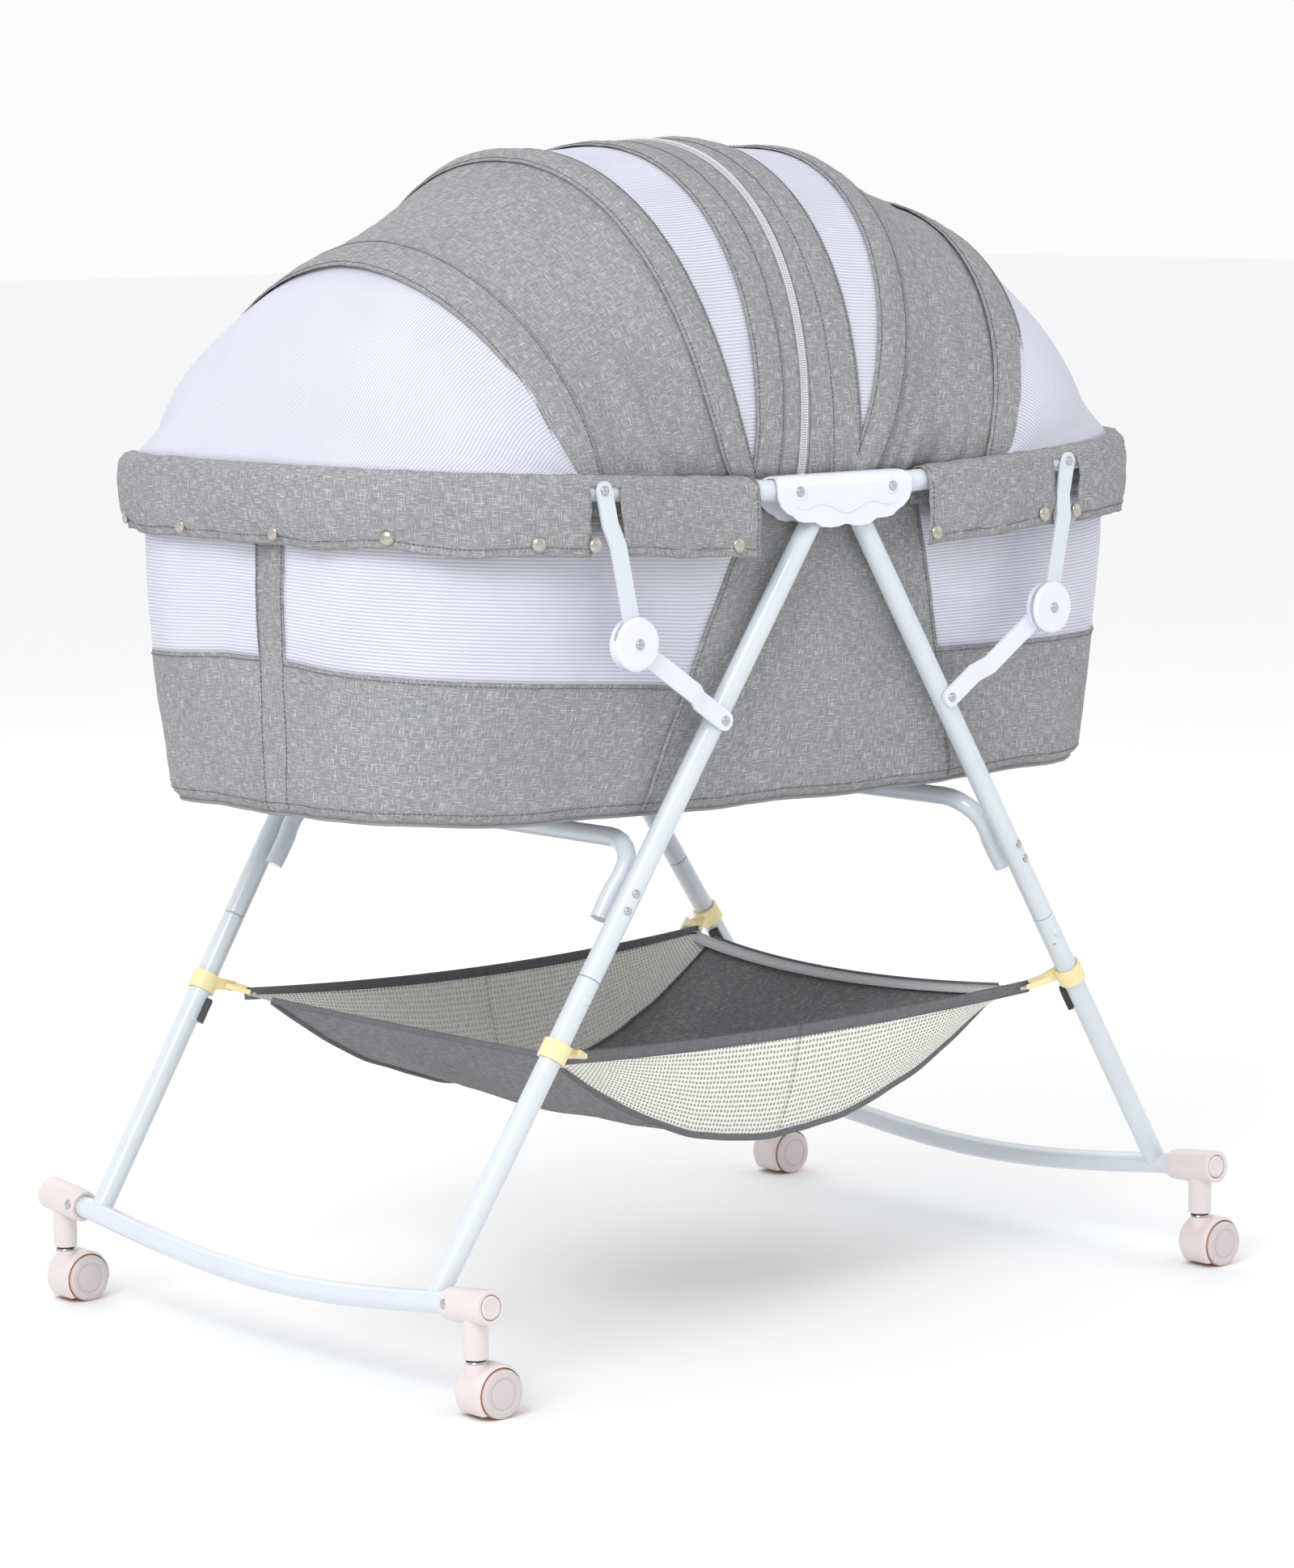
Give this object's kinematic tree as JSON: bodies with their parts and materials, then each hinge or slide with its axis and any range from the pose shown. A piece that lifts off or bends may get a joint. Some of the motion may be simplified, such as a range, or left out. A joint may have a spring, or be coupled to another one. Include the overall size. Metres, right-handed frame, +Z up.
{
  "type": "bassinet on stand",
  "caption": "Oblong cloth bassinet with an arched net-and-linen canopy that unzips in the middle, on a folding tube stand with rocker ends, flip-away casters and a hanging basket.",
  "frame": {"origin": "on the floor under the centre of the stand", "axes": "+Z up, X along the bed with the left end at -X, Y across it with the near side at -Y"},
  "size_m": [0.911, 0.6208, 1.0145],
  "materials": {
    "frame_paint": "glossy white powder coat",
    "bracket_plastic": "smooth white",
    "caster_plastic": "satin pinkish white",
    "wheel_plastic": "satin pale pink grey",
    "cream_plastic": "satin cream",
    "wire": "plain wire, hidden in the cloth",
    "net": "fine white net",
    "linen": "heathered grey linen weave",
    "melange": "dark grey melange with net ends",
    "board": "plain fibreboard",
    "pad": "white cotton"
  },
  "bodies": {
    "bracket_body": {"near_bracket": "bracket_plastic", "far_bracket": "bracket_plastic", "tub": "linen", "bottom_board": "board", "mattress": "pad", "basket": "melange"},
    "left_rail_half": {"left_rail": "frame_paint", "left_cuff": "linen", "left_bow_outer": "wire", "left_end_net": "net"},
    "left_leg_frame": {"left_near_upper_leg": "frame_paint", "left_far_upper_leg": "frame_paint", "left_cross_brace": "frame_paint", "left_rocker_frame": "frame_paint", "left_near_basket_clip": "cream_plastic", "left_far_basket_clip": "cream_plastic"},
    "left_upper_links": {"left_near_upper_link": "frame_paint", "left_far_upper_link": "frame_paint"},
    "left_lower_links": {"left_near_lower_link": "bracket_plastic", "left_far_lower_link": "bracket_plastic"},
    "left_canopy_middle": {"left_bow_middle": "wire", "left_canopy_panel": "linen"},
    "left_canopy_front": {"left_bow_inner": "wire", "left_canopy_window": "net", "left_front_band": "linen"},
    "right_rail_half": {"right_rail": "frame_paint", "right_cuff": "linen", "right_bow_outer": "wire", "right_end_net": "net"},
    "right_leg_frame": {"right_near_upper_leg": "frame_paint", "right_far_upper_leg": "frame_paint", "right_cross_brace": "frame_paint", "right_rocker_frame": "frame_paint", "right_near_basket_clip": "cream_plastic", "right_far_basket_clip": "cream_plastic"},
    "right_upper_links": {"right_near_upper_link": "frame_paint", "right_far_upper_link": "frame_paint"},
    "right_lower_links": {"right_near_lower_link": "bracket_plastic", "right_far_lower_link": "bracket_plastic"},
    "right_canopy_middle": {"right_bow_middle": "wire", "right_canopy_panel": "linen"},
    "right_canopy_front": {"right_bow_inner": "wire", "right_canopy_window": "net", "right_front_band": "linen"},
    "left_near_housing": {"left_near_caster_housing": "caster_plastic"},
    "left_near_button": {"left_near_caster_button": "caster_plastic"},
    "left_near_swivel": {"left_near_caster_fork": "caster_plastic"},
    "left_near_wheel": {"left_near_twin_wheel": "wheel_plastic"},
    "left_far_housing": {"left_far_caster_housing": "caster_plastic"},
    "left_far_button": {"left_far_caster_button": "caster_plastic"},
    "left_far_swivel": {"left_far_caster_fork": "caster_plastic"},
    "left_far_wheel": {"left_far_twin_wheel": "wheel_plastic"},
    "right_near_housing": {"right_near_caster_housing": "caster_plastic"},
    "right_near_button": {"right_near_caster_button": "caster_plastic"},
    "right_near_swivel": {"right_near_caster_fork": "caster_plastic"},
    "right_near_wheel": {"right_near_twin_wheel": "wheel_plastic"},
    "right_far_housing": {"right_far_caster_housing": "caster_plastic"},
    "right_far_button": {"right_far_caster_button": "caster_plastic"},
    "right_far_swivel": {"right_far_caster_fork": "caster_plastic"},
    "right_far_wheel": {"right_far_twin_wheel": "wheel_plastic"}
  },
  "joints": [
    {"name": "left_rail_fold", "type": "hinge", "parent": "bracket_body", "child": "left_rail_half", "pos_m": [-0.0523, 0, 0.7227], "axis": [0, -1, 0], "range_deg": [0, 82], "deforming": ["tub", "bottom_board", "mattress", "basket", "left_cuff"]},
    {"name": "left_leg_fold", "type": "hinge", "parent": "bracket_body", "child": "left_leg_frame", "pos_m": [-0.0135, 0, 0.718], "axis": [0, -1, 0], "range_deg": [0, 28.9]},
    {"name": "left_upper_link_pivot", "type": "hinge", "parent": "left_rail_half", "child": "left_upper_links", "pos_m": [-0.26441, 0, 0.73382], "axis": [0, 1, 0], "range_deg": [0, 89.59]},
    {"name": "left_elbow", "type": "hinge", "parent": "left_upper_links", "child": "left_lower_links", "pos_m": [-0.2372, 0, 0.6083], "axis": [0, -1, 0], "range_deg": [0, 106.37]},
    {"name": "right_rail_fold", "type": "hinge", "parent": "bracket_body", "child": "right_rail_half", "pos_m": [0.0523, 0, 0.7227], "axis": [0, 1, 0], "range_deg": [0, 82], "deforming": ["right_cuff"]},
    {"name": "right_leg_fold", "type": "hinge", "parent": "bracket_body", "child": "right_leg_frame", "pos_m": [0.0135, 0, 0.718], "axis": [0, 1, 0], "range_deg": [0, 28.9]},
    {"name": "right_upper_link_pivot", "type": "hinge", "parent": "right_rail_half", "child": "right_upper_links", "pos_m": [0.26441, 0, 0.73382], "axis": [0, -1, 0], "range_deg": [0, 89.59]},
    {"name": "right_elbow", "type": "hinge", "parent": "right_upper_links", "child": "right_lower_links", "pos_m": [0.2372, 0, 0.6083], "axis": [0, 1, 0], "range_deg": [0, 106.37]},
    {"name": "left_canopy_fold", "type": "hinge", "parent": "left_rail_half", "child": "left_canopy_middle", "pos_m": [-0.079, 0, 0.7241], "axis": [0, -1, 0], "range_deg": [0, 34], "deforming": ["left_canopy_panel"]},
    {"name": "left_canopy_front_fold", "type": "hinge", "parent": "left_canopy_middle", "child": "left_canopy_front", "pos_m": [-0.079, 0, 0.7241], "axis": [0, -1, 0], "range_deg": [0, 13], "deforming": ["left_canopy_window"]},
    {"name": "right_canopy_fold", "type": "hinge", "parent": "right_rail_half", "child": "right_canopy_middle", "pos_m": [0.025, 0, 0.7227], "axis": [0, 1, 0], "range_deg": [0, 22], "deforming": ["right_canopy_panel"]},
    {"name": "right_canopy_front_fold", "type": "hinge", "parent": "right_canopy_middle", "child": "right_canopy_front", "pos_m": [0.025, 0, 0.7227], "axis": [0, 1, 0], "range_deg": [0, 11], "deforming": ["right_canopy_window"]},
    {"name": "left_near_caster_flip", "type": "hinge", "parent": "left_leg_frame", "child": "left_near_housing", "pos_m": [-0.42, -0.2354, 0.0863], "axis": [0, 0.9954, -0.0958], "range_deg": [0, 180]},
    {"name": "left_near_release", "type": "slide", "parent": "left_near_housing", "child": "left_near_button", "axis": [0, 0.9954, -0.0958], "range_m": [0, 0.003], "stiffness_N_per_m": 800, "springref_m": -0.002},
    {"name": "left_near_caster_swivel", "type": "hinge", "parent": "left_near_housing", "child": "left_near_swivel", "pos_m": [-0.42, -0.2885, 0.05], "axis": [0, 0, 1], "continuous": true},
    {"name": "left_near_wheel_spin", "type": "hinge", "parent": "left_near_swivel", "child": "left_near_wheel", "pos_m": [-0.4073, -0.2885, 0.0205], "axis": [0, 1, 0], "continuous": true},
    {"name": "left_far_caster_flip", "type": "hinge", "parent": "left_leg_frame", "child": "left_far_housing", "pos_m": [-0.42, 0.2354, 0.0863], "axis": [0, 0.9954, 0.0958], "range_deg": [0, 180]},
    {"name": "left_far_release", "type": "slide", "parent": "left_far_housing", "child": "left_far_button", "axis": [0, -0.9954, -0.0958], "range_m": [0, 0.003], "stiffness_N_per_m": 800, "springref_m": -0.002},
    {"name": "left_far_caster_swivel", "type": "hinge", "parent": "left_far_housing", "child": "left_far_swivel", "pos_m": [-0.42, 0.2885, 0.05], "axis": [0, 0, 1], "continuous": true},
    {"name": "left_far_wheel_spin", "type": "hinge", "parent": "left_far_swivel", "child": "left_far_wheel", "pos_m": [-0.4073, 0.2885, 0.0205], "axis": [0, 1, 0], "continuous": true},
    {"name": "right_near_caster_flip", "type": "hinge", "parent": "right_leg_frame", "child": "right_near_housing", "pos_m": [0.42, -0.2354, 0.0863], "axis": [0, -0.9954, 0.0958], "range_deg": [0, 180]},
    {"name": "right_near_release", "type": "slide", "parent": "right_near_housing", "child": "right_near_button", "axis": [0, 0.9954, -0.0958], "range_m": [0, 0.003], "stiffness_N_per_m": 800, "springref_m": -0.002},
    {"name": "right_near_caster_swivel", "type": "hinge", "parent": "right_near_housing", "child": "right_near_swivel", "pos_m": [0.42, -0.2885, 0.05], "axis": [0, 0, 1], "continuous": true},
    {"name": "right_near_wheel_spin", "type": "hinge", "parent": "right_near_swivel", "child": "right_near_wheel", "pos_m": [0.4327, -0.2885, 0.0205], "axis": [0, 1, 0], "continuous": true},
    {"name": "right_far_caster_flip", "type": "hinge", "parent": "right_leg_frame", "child": "right_far_housing", "pos_m": [0.42, 0.2354, 0.0863], "axis": [0, -0.9954, -0.0958], "range_deg": [0, 180]},
    {"name": "right_far_release", "type": "slide", "parent": "right_far_housing", "child": "right_far_button", "axis": [0, -0.9954, -0.0958], "range_m": [0, 0.003], "stiffness_N_per_m": 800, "springref_m": -0.002},
    {"name": "right_far_caster_swivel", "type": "hinge", "parent": "right_far_housing", "child": "right_far_swivel", "pos_m": [0.42, 0.2885, 0.05], "axis": [0, 0, 1], "continuous": true},
    {"name": "right_far_wheel_spin", "type": "hinge", "parent": "right_far_swivel", "child": "right_far_wheel", "pos_m": [0.4327, 0.2885, 0.0205], "axis": [0, 1, 0], "continuous": true}
  ],
  "couplings": [
    {"joint": "left_leg_fold", "follows": "left_rail_fold", "ratio": 0.35244},
    {"joint": "left_upper_link_pivot", "follows": "left_rail_fold", "ratio": 1.0926},
    {"joint": "left_elbow", "follows": "left_rail_fold", "ratio": 1.2972},
    {"joint": "right_rail_fold", "follows": "left_rail_fold", "ratio": 1},
    {"joint": "right_leg_fold", "follows": "left_rail_fold", "ratio": 0.35244},
    {"joint": "right_upper_link_pivot", "follows": "left_rail_fold", "ratio": 1.0926},
    {"joint": "right_elbow", "follows": "left_rail_fold", "ratio": 1.2972},
    {"joint": "left_canopy_front_fold", "follows": "left_canopy_fold", "ratio": 0.38},
    {"joint": "right_canopy_front_fold", "follows": "right_canopy_fold", "ratio": 0.5}
  ]
}
